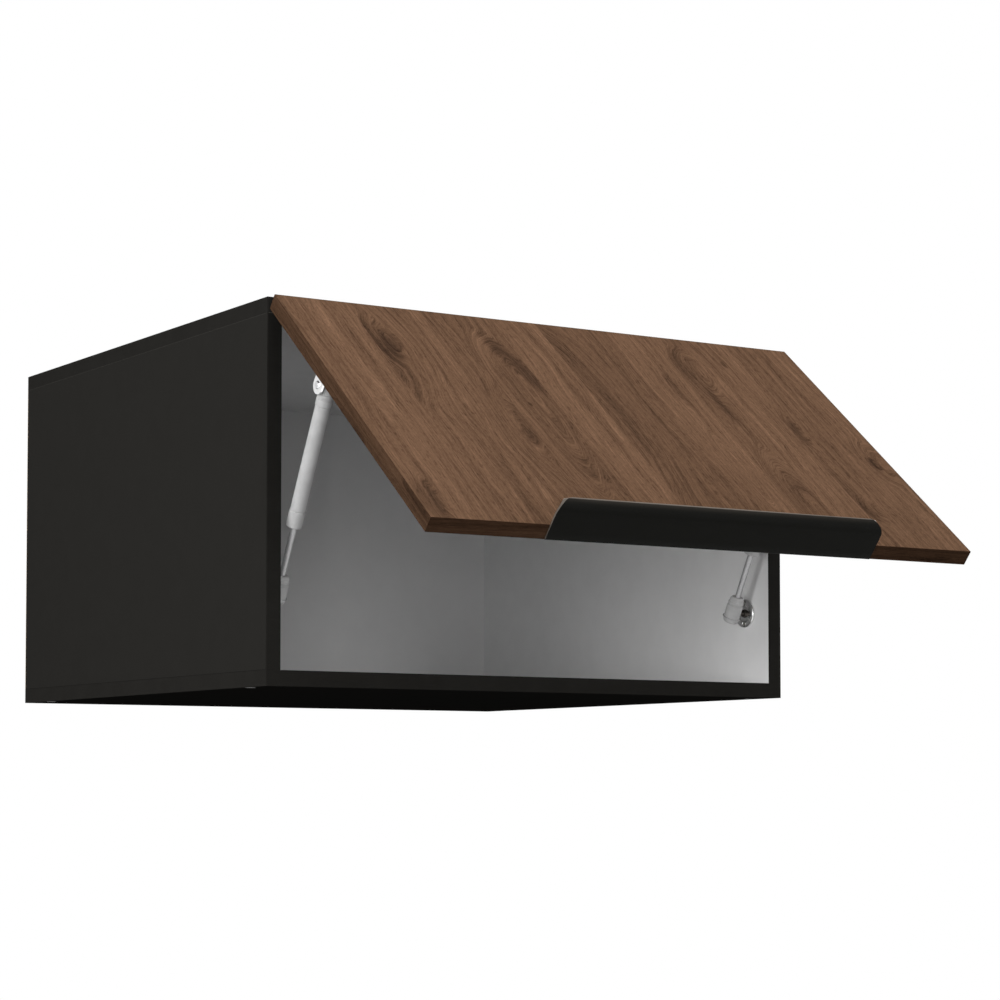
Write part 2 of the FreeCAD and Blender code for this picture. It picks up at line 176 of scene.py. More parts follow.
inner_half = 0.2853
inner_top = 0.3453
inner_bottom = 0.0147
upper_joint = 0.34505
lower_joint = 0.015
joint_half = 0.0003
rear_face = -0.0005
board = Finish("melamine board", 0.0)
x, y, z = board.axes()
inside = (abs(x) < inner_half) * (z < inner_top) * (z > inner_bottom)
grain = board.place.noise((850, 850, 850), 3, 0.6)
mottle = board.place.noise((38, 38, 38), 4, 0.6)
black = mottle.step(0.3, 0.7).blend(rgb(42, 41, 39), rgb(43, 42, 40))
black = grain.step(0.42, 0.6, 0.0, 0.3).blend(black, rgb(47, 46, 44))
upper_seam = (abs(z - upper_joint) < joint_half) * 0.4
lower_seam = (abs(z - lower_joint) < joint_half) * 0.7
black = lower_seam.blend(upper_seam.blend(black, rgb(92, 90, 86)), rgb(16, 15, 14))
white = mottle.step(0.3, 0.7).blend(rgb(234, 234, 234), rgb(237, 237, 237))
chips = board.place.noise((480, 900, 480), 3, 0.7)
chipboard = chips.ramp((0.32, rgb(96, 70, 42)), (0.46, rgb(160, 128, 86)), (0.66, rgb(202, 174, 130)))
ragged = board.place.noise((700, 700, 700), 2)
raw_edge = y + ragged.step(0.56, 0.7) * 0.0016 > rear_face
board.set(Base_Color=raw_edge.blend(inside.blend(black, white), chipboard),
          Roughness=raw_edge.step(0.0, 1.0, 0.55, 0.9) + (mottle - 0.5) * 0.15)
board.relief(grain * 0.35 + raw_edge * chips * 2.5, 0.00012, 0.0004)
finish_nodes(board, "left_side_panel", "right_side_panel", "top_panel", "bottom_panel")

# Edge bands: black plastic strip 1 mm thick, glued along the front of the four boards and over the
# open ends of the top and bottom, then scraped flush, which leaves fine lines along its length.
band_joint = 0.34515
band_ends = 0.2989
band = Finish("black edge band", 0.0)
across_lines = band.place.noise((60, 3200, 3200), 2)
x, _, z = band.axes()
patches = band.place.noise((45, 45, 45), 3, 0.6)
on_front = patches.step(0.3, 0.7).blend(rgb(35, 34, 32), rgb(37, 36, 34))
on_front = ((abs(z - band_joint) < joint_half) * 0.5).blend(on_front, rgb(92, 90, 86))
over_ends = patches.step(0.3, 0.7).blend(rgb(39, 38, 36), rgb(41, 40, 38))
band_colour = (abs(x) > band_ends).blend(on_front, over_ends)
band.set(Base_Color=across_lines.step(0.5, 0.75, 0.0, 0.2).blend(band_colour, rgb(52, 51, 49)),
         Roughness=across_lines.step(0.3, 0.7, 0.42, 0.56))
band.relief(across_lines, 0.00006, 0.0005)
finish_nodes(band, "front_edge_bands", "panel_end_bands")

# Screw caps: black plastic discs pressed flush over the joint screws in the top and the underside.
cap = Finish("black cap", 0.1)
cap_grain = cap.place.noise((2600, 2600, 2600), 2)
cap.set(Base_Color=cap_grain.step(0.4, 0.7).blend(rgb(30, 29, 28), rgb(40, 39, 37)),
        Roughness=cap_grain.step(0.3, 0.7, 0.34, 0.5))
cap.relief(cap_grain, 0.00005, 0.0004)
finish_nodes(cap, "joint_screw_caps")

# Joint screws and other fastenings: zinc plated steel.
zinc = Finish("zinc plate", 0.5)
zinc_grain = zinc.place.noise((1200, 1200, 1200), 3)
zinc.set(Base_Color=zinc_grain.step(0.3, 0.7).blend(rgb(176, 176, 172), rgb(206, 205, 198)),
         Metallic=1.0, Roughness=zinc_grain.step(0.3, 0.7, 0.2, 0.36))
zinc.relief(zinc_grain, 0.00003, 0.0002)
finish_nodes(zinc, "joint_screws", "hanger_screws", "hanger_adjusters")

# Dowels: fluted beech pins glued between the boards at each corner.
beech = Finish("beech", 0.2)
fibre = beech.place.noise((1600, 1600, 90), 3)
beech.set(Base_Color=fibre.step(0.3, 0.7).blend(rgb(172, 134, 92), rgb(208, 174, 130)),
          Roughness=fibre.step(0.3, 0.7, 0.6, 0.75))
beech.relief(fibre, 0.00012)
finish_nodes(beech, "corner_dowels")

# Back panel: 3 mm hardboard slid into a groove round the boards. Its front is lacquered white and
# its rear is bare, brown and a little hairy, with the screen pattern of the press.
back_middle = -0.0145
hardboard = Finish("hardboard", 0.0)
_, y, _ = hardboard.axes()
rear = y > back_middle
clouds = hardboard.place.noise((24, 24, 24), 4, 0.6)
hairs = hardboard.place.noise((620, 620, 620), 5, 0.8)
screen = hardboard.place.node("TexVoronoi", {"distance": "MANHATTAN"},
                              {"Vector": hardboard.place, "Scale": 620.0})
brown = (hairs * 0.7 + clouds * 0.3).ramp((0.34, rgb(82, 55, 34)), (0.5, rgb(118, 84, 55)),
                                          (0.66, rgb(148, 112, 78)))
lacquer = clouds.step(0.3, 0.7).blend(rgb(234, 234, 234), rgb(237, 237, 237))
hardboard.set(Base_Color=rear.blend(lacquer, brown), Roughness=rear.step(0.0, 1.0, 0.5, 0.88))
hardboard.relief(rear * (hairs + screen * 0.8) + (1.0 - rear) * clouds * 0.2, 0.00025, 0.0003)
finish_nodes(hardboard, "back_panel")

# Hangers: a white moulded housing screwed into each top rear corner. A galvanised hook reaches from
# it through the back panel onto the rail, and two slotted screws raise it and pull it to the wall.
housing = Finish("white hanger plastic", 0.15)
moulding = housing.place.noise((1500, 1500, 1500), 2)
housing.set(Base_Color=moulding.step(0.3, 0.7).blend(rgb(212, 212, 210), rgb(222, 222, 220)),
            Roughness=moulding.step(0.3, 0.7, 0.4, 0.52))
housing.relief(moulding, 0.00005, 0.0006)
finish_nodes(housing, "left_hanger_housing", "right_hanger_housing")

# Hooks and wall rail: steel strip folded to shape and galvanised. The rail is screwed to the wall.
galvanised = Finish("galvanised steel", 0.5)
flakes = galvanised.place.node("TexVoronoi", {}, {"Vector": galvanised.place, "Scale": 330.0}, "Color")
spangle = flakes.node("RGBToBW", {}, {0: flakes})
dulled = galvanised.place.noise((60, 60, 60), 4, 0.6)
galvanised.set(Base_Color=(spangle * 0.6 + dulled * 0.4).blend(rgb(132, 136, 139), rgb(194, 196, 198)),
               Metallic=1.0, Roughness=spangle.step(0.0, 1.0, 0.3, 0.5))
galvanised.relief(galvanised.place.noise((900, 900, 900)), 0.00004, 0.0003)
finish_nodes(galvanised, "hanger_hooks", "wall_rail")

# Hinges: nickel plated steel. A cranked arm is clipped to a plate under the top panel, and carries
# the pin of a round cup that is let into the flap. Rolling the sheet left faint lines along it.
nickel = Finish("nickel plate", 0.5)
rolled = nickel.place.noise((2400, 180, 900), 3)
nickel.set(Base_Color=rolled.step(0.3, 0.7).blend(rgb(184, 180, 173), rgb(206, 202, 195)),
           Metallic=1.0, Roughness=rolled.step(0.3, 0.7, 0.16, 0.3))
nickel.relief(rolled, 0.00003, 0.0003)
finish_nodes(nickel, "left_hinge_plate", "right_hinge_plate", "left_hinge_arm", "right_hinge_arm",
             "left_hinge_cup", "right_hinge_cup", "hinge_pins")

# Flap: 15 mm board faced with walnut laid up from nine straight leaves, their grain running from the
# hinge edge to the handle edge. The leaves carry knots, arches and dark heart streaks that stop at
# the joints, and the four edges are banded in the same wood with the grain along them.
flap_tilt = math.radians(50.53)
flap_top = Vector((0, -0.5716, 0.3488))
flap_down = Vector((0, -math.sin(flap_tilt), -math.cos(flap_tilt)))
flap_out = Vector((0, -math.cos(flap_tilt), math.sin(flap_tilt)))


def across_flap(finish):
    """Across, down and out from the flap's top inside edge, in millimetres."""
    offset = finish.place.node("VectorMath", {"operation": "SUBTRACT"}, {0: finish.place, 1: tuple(flap_top)})
    return [offset.node("VectorMath", {"operation": "DOT_PRODUCT"}, {0: offset, 1: tuple(way)}, 1) * 1000.0
            for way in (Vector((1, 0, 0)), flap_down, flap_out)]


walnut = Finish("walnut veneer", 0.0)
across, down, out = across_flap(walnut)
end_edge = down.maths("MAXIMUM", down > 361.6, down < 0.4)
side_edge = abs(across) > 298.2
behind = out < 7.5
over = end_edge.step(0.0, 1.0) * (out * 2.4 + 30.0 - across) + across + behind * 173.0
along = end_edge * (across * 0.9 + 70.0 - down) + down
over = over + side_edge * out * 1.5

# Each leaf is a new piece of wood: its first edge, and how much lighter it is than the one before.
leaf_joints = ((-273, 0.04), (-223.5, -0.08), (-118.5, 0.03), (-65.5, 0.06), (-13.5, -0.09), (49.7, 0.05),
               (161, 0.0), (205.5, -0.02), (267, 0.04))
leaf = 0.0
leaf_tone = 0.0
for joint, lighter in leaf_joints:
    past = over > joint
    leaf = past + leaf
    leaf_tone = past * lighter + leaf_tone
sheet = walnut.joined(over, along, leaf * 17.3)
drift = sheet.noise((0.011, 0.0042, 1), 2) - 0.5
waver = sheet.noise((0.05, 0.018, 1), 1) - 0.5
lane = over + drift * 15.0 + waver * 3.0


def figure(middle, depth, half_wide, half_long, first, last, tail=1.0, lean=0.0):
    """One in the middle of a long oval, falling to nothing round it, within the leaf's two edges."""
    a = (lane - (depth - along) * lean - middle) * (1 / half_wide)
    b = (along - depth) * (1 / half_long)
    if tail < 1:
        b = b - b.maths("MAXIMUM", b, 0.0) * (1 - tail)
    return (a * a + b * b).step(0.0, 3.2, 1.0, 0.0) * (over > first) * (over < last)


# What the rings bend round, as the oval, how many rings it bends, and how dark its heart is.
rings = lane * 0.085 + (sheet.noise((0.012, 0.003, 1), 1) - 0.5) * 1.6
heart = 0.0
for oval, bent, darker in (
        ((-222, 72, 30, 66, -223.5, -118.5), -1.5, 0.0), ((-220, 66, 13, 32, -223.5, -118.5), 1.0, 0.17),
        ((-211, 82, 5, 22, -223.5, -118.5), 0.2, 0.12), ((-210, 130, 10, 50, -223.5, -118.5), 0.0, 0.05),
        ((-117, 205, 26, 60, -223.5, -118.5), 1.3, 0.0), ((-118, 206, 9, 34, -223.5, -118.5), -1.2, 0.16),
        ((-98, 112, 19, 52, -118.5, -65.5, 0.35), 3.6, 0.0), ((-100, 66, 7, 22, -118.5, -65.5), 0.0, -0.09),
        ((-78, 82, 9, 42, -118.5, -65.5, 1.0, -0.22), 0.0, 0.22),
        ((-22, 152, 38, 110, -13.5, 49.7), -2.2, 0.02), ((-2, 110, 11, 80, -13.5, 49.7), 0.0, 0.08),
        ((143, 330, 15, 80, 49.7, 161, 0.4), 4.6, 0.05), ((143, 58, 13, 26, 49.7, 161, 0.6), 2.0, 0.09),
        ((143, 52, 14, 24, 49.7, 161), 0.0, 0.08), ((144, 126, 3.5, 30, 49.7, 161), 0.0, 0.2),
        ((128, 210, 7, 100, 49.7, 161), 0.0, 0.06), ((94, 228, 6, 34, 49.7, 161, 0.5), 1.8, 0.0),
        ((97, 98, 9, 18, 49.7, 161), 0.2, 0.12), ((214, 156, 6, 24, 205.5, 267, 1.0, -0.08), 0.3, 0.2),
        ((209, 246, 7, 60, 205.5, 267), 0.2, 0.13), ((217, 300, 9, 14, 205.5, 267), 0.6, 0.15),
        ((278, 212, 13, 28, 267, 299), 1.2, 0.07), ((278, 214, 4.5, 9, 267, 299), 0.6, 0.28),
        ((-283, 336, 9, 24, -299, -273), 0.5, 0.2), ((-98.5, 159, 1.6, 3, -118.5, -65.5), 0.0, 0.3),
        ((193, 43, 1.8, 5, 161, 205.5), 0.0, 0.3), ((-243, 70, 2, 90, -273, -223.5), 0.0, 0.12),
        ((-31, 120, 2.5, 160, -65.5, -13.5), 0.0, 0.12), ((50, 20, 1.5, 60, 45, 52), 0.0, 0.2)):
    swelling = figure(*oval)
    if bent:
        rings = swelling * bent + rings
    heart = swelling * darker + heart
rings = rings + (sheet.noise((0.09, 0.012, 1), 2) - 0.5) * 0.7
ring = rings.maths("FRACT", rings)
late_wood = ring.step(0.2, 0.85) * ring.step(0.88, 1.0, 1.0, 0.0)
contrast = sheet.noise((0.03, 0.006, 1), 1).step(0.36, 0.64, 0.3, 1.0)

# The lines of the grain follow the rings: broad bands, then streaks, fibres and short open pores.
grain_place = walnut.joined(rings * 11.8, along, leaf * 3.7)
bands = grain_place.noise((0.03, 0.0016, 1), 2) - 0.5
streaks = grain_place.noise((0.2, 0.004, 1), 4, 0.75) - 0.5
fibres = grain_place.noise((0.7, 0.02, 1), 4, 0.85) - 0.5
pores = grain_place.noise((0.8, 0.11, 1), 2, 0.6).step(0.53, 0.66)
shimmer = sheet.noise((0.6, 0.3, 1), 2, 0.8) - 0.5
tone = 0.56 + leaf_tone + bands * 0.5 + streaks * 0.6 + fibres * 1.1 + shimmer * 0.35
tone = tone - late_wood * contrast * 0.12 - pores * 0.16 - heart
veneer = tone.ramp((0.0, rgb(50, 37, 29)), (0.25, rgb(76, 57, 44)), (0.5, rgb(98, 74, 57)),
                   (0.72, rgb(115, 88, 69)), (0.95, rgb(136, 106, 83)))
# The edges are painted darker than the face as painted shade, the side edges somewhat and the two end edges
# most.
veneer = side_edge.blend(veneer, (0.63, 0.62, 0.61), "MULTIPLY")
veneer = end_edge.blend(veneer, (0.44, 0.42, 0.41), "MULTIPLY")
walnut.set(Base_Color=veneer, Roughness=0.56 + pores * 0.16 - streaks * 0.2)
walnut.relief(fibres + streaks * 0.4 - pores * 0.5, 0.0002, 0.0004)
finish_nodes(walnut, "flap_panel", "flap_edge_bands")

# Handle: an aluminium profile folded under the flap's lower edge. Its rear leg is let into the back
# of the flap and screwed, and its lip curves up along the front, with both front corners rounded.
# It is powder coated matt black. Its cut ends are coloured lighter, and a highlight is painted along the rim
# of the lip, fading down the lip from there.
handle_half = 0.18
leg_thick = 0.0014
leg_high = 0.022
base_thick = 0.0015
lip_thick = 0.002
lip_flat = 0.028
lip_radius = 0.01307
lip_turn = math.radians(66.7)
corner_radius = 0.015
flap_high = 0.362
low_outer = flap_high + base_thick
tip = lip_flat + lip_radius * math.sin(lip_turn)
tip_down = low_outer - lip_radius + lip_radius * math.cos(lip_turn)


def on_flap(across_place, down_place, out_place):
    """The place in the cabinet of a point on the flap, in metres."""
    return flap_top + Vector((across_place, 0, 0)) + flap_down * down_place + flap_out * out_place


def add_piece(name, mesh, finish, body, slot, *stands_for):
    """A piece in its finish, riding on a body in place of CAD nodes."""
    mesh.materials.append(finish.material)
    piece = bpy.data.objects.new(name, mesh)
    bpy.context.scene.collection.objects.link(piece)
    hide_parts(*stands_for)
    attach(piece, body)


def finished_mesh(form, name, sharp=40):
    """A mesh from a bmesh, its faces turned outwards and smooth but for sharp edges."""
    bmesh.ops.remove_doubles(form, verts=form.verts, dist=0.000005)
    bmesh.ops.dissolve_degenerate(form, edges=form.edges, dist=0.000002)
    bmesh.ops.recalc_face_normals(form, faces=form.faces)
    mesh = bpy.data.meshes.new(name)
    form.to_mesh(mesh)
    form.free()
    mesh.shade_smooth()
    mesh.set_sharp_from_angle(angle=math.radians(sharp))
    return mesh


def lip_end(out_place):
    """How far along the flap the profile reaches, at a distance out from the flap's inner face."""
    into_corner = max(out_place - tip + corner_radius, 0)
    return handle_half - corner_radius + math.sqrt(max(corner_radius ** 2 - into_corner ** 2, 0))


skin = [(0.0, flap_high - leg_high + 0.0005), (0.0, low_outer - 0.0009), (0.0003, low_outer - 0.0003),
        (0.0009, low_outer), (0.008, low_outer), (0.016, low_outer), (0.022, low_outer),
        (lip_flat, low_outer)]
core = [(leg_thick, flap_high - leg_high + 0.0005), (leg_thick, flap_high - 0.004),
        (leg_thick, flap_high - 0.002), (leg_thick, flap_high), (0.008, flap_high), (0.016, flap_high),
        (0.022, low_outer - lip_thick), (lip_flat, low_outer - lip_thick)]
turns = 14
for number in range(1, turns + 1):
    angle = lip_turn * number / turns
    for path, radius in ((skin, lip_radius), (core, lip_radius - lip_thick)):
        path.append((lip_flat + radius * math.sin(angle), low_outer - lip_radius + radius * math.cos(angle)))
form = bmesh.new()
# Each face carries a value for the shader: 0.65 on the cut ends, which are coloured lighter, and 1.0 on the
# rim, where a highlight is painted.
thinly_coated = form.faces.layers.float.new("thinly_coated")
cut_end = 0.65
rows = []
for section_points in zip(skin, core):
    rows.append([])
    for out_place, down_place in section_points:
        reach = lip_end(out_place)
        stations = (-reach, -handle_half + corner_radius, 0, handle_half - corner_radius, reach)
        rows[-1].append([form.verts.new(on_flap(station, down_place, out_place)) for station in stations])
for (skin_a, core_a), (skin_b, core_b) in zip(rows, rows[1:]):
    for a in range(4):
        form.faces.new((skin_a[a], skin_a[a + 1], skin_b[a + 1], skin_b[a]))
        form.faces.new((core_a[a], core_b[a], core_b[a + 1], core_a[a + 1]))
    form.faces.new((skin_a[0], skin_b[0], core_b[0], core_a[0]))[thinly_coated] = cut_end
    form.faces.new((skin_a[4], core_a[4], core_b[4], skin_b[4]))[thinly_coated] = cut_end
for (skin_row, core_row), highlit_here in ((rows[0], 0.0), (rows[-1], 1.0)):
    for a in range(4):
        face = form.faces.new((skin_row[a], core_row[a], core_row[a + 1], skin_row[a + 1]))
        face[thinly_coated] = highlit_here
# The rim is rounded, and the rounding takes the painted highlight.
highlit_rim = [edge for edge in form.edges if all(vert in rows[-1][0] or vert in rows[-1][1] for vert in edge.verts)]
for face in bmesh.ops.bevel(form, geom=highlit_rim, offset=0.0005, segments=2, affect="EDGES")["faces"]:
    face[thinly_coated] = 1.0

powder = Finish("black powder coat", 0.02)
_, down, out = across_flap(powder)
from_rim = down - tip_down * 1000
on_lip = out > 20.0
# Painted highlight: a light line along the rim of the lip, and a faint glow fading down the lip from it.
highlit_rim = from_rim.step(0.5, 1.3, 1.0, 0.0) + from_rim.step(0.0, 5.5, 0.13, 0.0)
pale_or_highlit = powder.place.node("Attribute", {"attribute_name": "thinly_coated"}, {}, "Fac")
speckle = powder.place.noise((1700, 1700, 1700), 2, 0.6)
haze = powder.place.noise((30, 90, 90), 3, 0.6)
# The lighter cut ends and the painted rim highlight take a light grey brown in place of the black coat.
pale_ends_and_painted_highlight = pale_or_highlit.maths("MAXIMUM", pale_or_highlit, highlit_rim * on_lip) * haze.step(0.25, 0.6, 0.75, 1.0)
coat = speckle.step(0.35, 0.7).blend(rgb(19, 19, 17), rgb(24, 24, 22))
powder.set(Base_Color=pale_ends_and_painted_highlight.blend(coat, rgb(118, 110, 102)), Roughness=haze.step(0.3, 0.7, 0.4, 0.52))
powder.relief(speckle, 0.00008)
add_piece("handle", finished_mesh(form, "handle"), powder, "flap", "handle_black", "handle_profile")

# Screws: zinc plated, with a cross recess. Raised countersunk heads hold the hinge plates, the strut
# plates, the strut brackets and the handle's rear leg, and round heads hold the hinge cups.
def eased(points, steps=4):
    """The outline with each corner rounded to its own radius. A point is (radius, height, rounding)."""
    outline = [points[0][:2]]
    for (r0, z0, _), (r1, z1, rounding), (r2, z2, _) in zip(points, points[1:], points[2:]):
        before = Vector((r0 - r1, z0 - z1))
        after = Vector((r2 - r1, z2 - z1))
        rounding = min(rounding, before.length * 0.49, after.length * 0.49)
        if rounding < 1e-7:
            outline.append((r1, z1))
            continue
        start = before.normalized() * rounding
        end = after.normalized() * rounding
        for number in range(steps + 1):
            share = number / steps
            bend = start * (1 - share) ** 2 + end * share ** 2
            outline.append((r1 + bend.x, z1 + bend.y))
    outline.append(points[-1][:2])
    return outline


def turned(form, outline, frame_of_turning, around=48):
    """Turn an outline of (radius, height) about the Z axis of a placing matrix."""
    rings_made = []
    for radius, height in outline:
        rings_made.append([form.verts.new(frame_of_turning @ Vector(
            (radius * math.cos(math.tau * a / around), radius * math.sin(math.tau * a / around), height)))
            for a in range(around)])
    for lower, upper in zip(rings_made, rings_made[1:]):
        for a in range(around):
            b = (a + 1) % around
            form.faces.new((lower[a], lower[b], upper[b], upper[a]))


def placing(place, up, side=Vector((1, 0, 0))):
    """The matrix that stands a piece at a place with its Z along up and its X near side."""
    up = up.normalized()
    side = (side - up * side.dot(up)).normalized()
    turn = Matrix((side, up.cross(side), up)).transposed()
    return Matrix.Translation(place) @ turn.to_4x4()


def carved(mesh, tool):
    """The mesh with the tool's shape cut out of it."""
    whole = bpy.data.objects.new("whole", mesh)
    cutter = bpy.data.objects.new("cutter", tool)
    for piece in (whole, cutter):
        bpy.context.scene.collection.objects.link(piece)
    cut = whole.modifiers.new("cut", "BOOLEAN")
    cut.operation = "DIFFERENCE"
    cut.solver = "EXACT"
    cut.object = cutter
    result = bpy.data.meshes.new_from_object(whole.evaluated_get(bpy.context.evaluated_depsgraph_get()))
    bpy.data.objects.remove(whole)
    bpy.data.objects.remove(cutter)
    result.shade_smooth()
    result.set_sharp_from_angle(angle=math.radians(40))
    return result


def cross_headed(name, node, body, head, places, recess):
    """Screws with a tapering cross cut in the crown. Heights in head run up from the seat."""
    crown = max(height for radius, height, rounding in head)
    narrow = recess * 0.18
    form = bmesh.new()
    cuts = bmesh.new()
    for place, up in places:
        stand = placing(place, up, Vector((0, 0.31, 0.95)) if abs(up.x) > 0.5 else Vector((1, 0, 0)))
        turned(form, eased(head), stand, 28)
        levels = []
        for reach, height in ((recess, recess * 0.55), (recess * 0.35, -recess * 0.55)):
            turns_to = [Matrix.Rotation(quarter * math.pi / 2 + 0.4, 4, "Z") for quarter in range(4)]
            levels.append([cuts.verts.new(stand @ turn @ Vector((outward, aside, crown + height)))
                           for turn in turns_to
                           for outward, aside in ((reach, -narrow), (reach, narrow), (narrow, narrow))])
        for a in range(len(levels[0])):
            b = (a + 1) % len(levels[0])
            cuts.faces.new((levels[0][a], levels[0][b], levels[1][b], levels[1][a]))
        for level in levels:
            cuts.faces.new(level)
    mesh = carved(finished_mesh(form, name), finished_mesh(cuts, name + "_recess"))
    add_piece(name, mesh, zinc, body, "zinc_screw", node)


def countersunk(radius, deep, shank, long):
    """The outline of a raised countersunk screw from the middle of its crown to its point."""
    return [(0.0, 0.00045, 0), (radius * 0.6, 0.00035, 0.0006), (radius, 0.0, 0.0003), (shank, -deep, 0.0002),
            (shank, -long * 0.8, 0.0004), (0.0, -long, 0)]


def round_headed(radius, high, shank, long):
    """The outline of a round headed screw from the middle of its crown to its point."""
    return [(0.0, high, 0), (radius * 0.6, high * 0.95, 0.0008), (radius, high * 0.3, 0.0006),
            (radius, 0.0, 0), (shank, 0.0, 0.0001), (shank, -long * 0.8, 0.0004), (0.0, -long, 0)]


lower_ball = Vector((0.2676, -0.5315, 0.0894))
plate_face_x = 0.2825
plate_screw_up = 0.0108
cross_headed("plate_screws", "wall_plate_screws", "cabinet", countersunk(0.00275, 0.0015, 0.0015, 0.0135),
             [(Vector((side * plate_face_x, lower_ball.y, lower_ball.z + up)), Vector((-side, 0, 0)))
              for side in (-1, 1) for up in (-plate_screw_up, plate_screw_up)], 0.0012)
hinge_x = 0.2
hinge_plate_y = -0.533
hinge_plate_z = 0.3415
cross_headed("hinge_screws", "hinge_plate_screws", "cabinet", countersunk(0.0035, 0.002, 0.0018, 0.0145),
             [(Vector((side * hinge_x + across, hinge_plate_y, hinge_plate_z)), Vector((0, 0, -1)))
              for side in (-1, 1) for across in (-0.0165, 0.0165)], 0.0015)
cup_down = 0.0198
cup_plate = 0.0008
cross_headed("cup_screws", "hinge_cup_screws", "flap", round_headed(0.0032, 0.0013, 0.0016, 0.0105),
             [(on_flap(side * hinge_x + across, cup_down, -cup_plate), -flap_out)
              for side in (-1, 1) for across in (-0.024, 0.024)], 0.0014)
cross_headed("leg_screws", "handle_screws", "flap", countersunk(0.0028, 0.0013, 0.0015, 0.0118),
             [(on_flap(across, flap_high - 0.011, 0.0004), -flap_out)
              for across in (-0.15, -0.05, 0.05, 0.15)], 0.0012)
bracket_x = 0.2626
bracket_down = 0.0921
bracket_thick = 0.0016
cross_headed("bracket_screws", "strut_bracket_screws", "flap", countersunk(0.0029, 0.0014, 0.0015, 0.0128),
             [(on_flap(side * bracket_x, bracket_down + down_more, -bracket_thick), -flap_out)
              for side in (-1, 1) for down_more in (-0.0105, 0.0105)], 0.0012)

# Bumpers: clear soft pads stuck in the flap's lower corners, which quieten it as it closes.
pad = Finish("soft pad", 0.2)
dust = pad.place.noise((900, 900, 900), 3)
pad.set(Base_Color=dust.step(0.3, 0.7).blend(rgb(190, 190, 184), rgb(208, 208, 203)),
        Roughness=dust.step(0.3, 0.7, 0.4, 0.6))
pad.relief(dust, 0.00006, 0.0005)
finish_nodes(pad, "flap_bumpers")

# Strut plates: a polished steel pressing on each side panel, domed round a dished middle that
# carries a riveted, blackened stud for the strut's lower ball. Two countersunk screws hold it.
side_face = 0.285
stud_reach = 0.0044
polished = Finish("polished steel", 0.5)
buffed = polished.place.noise((300, 2600, 2600), 3)
_, y, z = polished.axes()
off_stud = (y - lower_ball.y) * (y - lower_ball.y) + (z - lower_ball.z) * (z - lower_ball.z)
blackened = off_stud < stud_reach ** 2
bright = buffed.step(0.3, 0.7).blend(rgb(222, 222, 222), rgb(236, 236, 235))
polished.set(Base_Color=blackened.blend(bright, rgb(74, 70, 66)), Metallic=1.0,
             Roughness=blackened.step(0.0, 1.0, 0.0, 0.35) + buffed.step(0.3, 0.7, 0.07, 0.16))
polished.relief(buffed, 0.00001)
plate_outline = eased([(0.0150, 0.0, 0), (0.0150, 0.0025, 0.0020), (0.0092, 0.0027, 0.0010),
                       (0.0080, 0.0017, 0.0006), (0.0040, 0.0017, 0.0003), (0.0040, 0.0041, 0.0006),
                       (0.0025, 0.0041, 0.0002), (0.0025, 0.0086, 0.0004), (0.0, 0.0086, 0)], 8)
hole_outline = [(0.0, 0.004), (0.0040, 0.004), (0.0029, 0.0024), (0.0016, 0.0010), (0.0016, -0.001),
                (0.0, -0.001)]
for side, name in ((-1, "left"), (1, "right")):
    form = bmesh.new()
    turned(form, [(0.0, 0.0)] + plate_outline, placing(
        Vector((side * side_face, lower_ball.y, lower_ball.z)), Vector((-side, 0, 0)), Vector((0, 0, 1))), 72)
    holes = bmesh.new()
    for up in (-plate_screw_up, plate_screw_up):
        hole_place = Vector((side * side_face, lower_ball.y, lower_ball.z + up))
        turned(holes, hole_outline, placing(hole_place, Vector((-side, 0, 0)), Vector((0, 0, 1))), 24)
    plate = carved(finished_mesh(form, name + "_plate"), finished_mesh(holes, "holes"))
    add_piece(name + "_plate", plate, polished, "cabinet", "polished_plate", name + "_strut_wall_plate")

# Strut brackets: polished angle steel screwed to the flap's inner face, with a round ear that holds
# the riveted stud of the strut's upper ball.
finish_nodes(polished, "left_strut_bracket", "right_strut_bracket")

# Ball studs: turned steel, riveted through the brackets above and hardened, and held in the sockets.
tempered = Finish("hardened steel", 0.5)
turning = tempered.place.noise((1500, 1500, 1500), 3)
tempered.set(Base_Color=turning.step(0.3, 0.7).blend(rgb(206, 206, 207), rgb(222, 222, 223)), Metallic=1.0,
             Roughness=turning.step(0.3, 0.7, 0.28, 0.4))
tempered.relief(turning, 0.00002, 0.0002)
finish_nodes(tempered, "left_upper_ball_stud", "right_upper_ball_stud", "left_lower_ball", "right_lower_ball")

# Ball sockets: white moulded plastic, screwed onto the rod's end and pressed onto the tube's end.
# Each is a barrel with a grip ring, hollowed for its ball, with a round mouth towards the side panel.
plastic = Finish("white plastic", 0.06)
moulded = plastic.place.noise((1300, 1300, 1300), 2)
tinted = plastic.place.noise((120, 120, 120), 3)
plastic.set(Base_Color=tinted.step(0.3, 0.7).blend(rgb(190, 190, 190), rgb(199, 199, 199)),
            Roughness=moulded.step(0.3, 0.7, 0.34, 0.48))
plastic.relief(moulded, 0.00006)
room_radius = 0.00505
upper_ball = on_flap(lower_ball.x, bracket_down, -0.0237)
strut_up = (upper_ball - lower_ball).normalized()
lower_outline = eased([(0.0, -0.0102, 0), (0.0064, -0.0102, 0.0016), (0.0084, -0.0078, 0.0020),
                       (0.0084, 0.0090, 0.0005), (0.0075, 0.0095, 0.0003), (0.0075, 0.0106, 0.0003),
                       (0.0082, 0.0111, 0.0004),
                       (0.0082, 0.0127, 0.0005), (0.0074, 0.0133, 0.0003), (0.0074, 0.0164, 0.0010),
                       (0.0060, 0.0182, 0.0008), (0.0031, 0.0182, 0.0003), (0.0031, 0.0170, 0)])
upper_outline = eased([(0.0, 0.0102, 0), (0.0064, 0.0102, 0.0016), (0.0084, 0.0078, 0.0020),
                       (0.0084, -0.0075, 0.0005),
                       (0.0074, -0.0080, 0.0003), (0.0074, -0.0092, 0.0003), (0.0080, -0.0096, 0.0004),
                       (0.0080, -0.0129, 0.0004), (0.0, -0.0129, 0)])
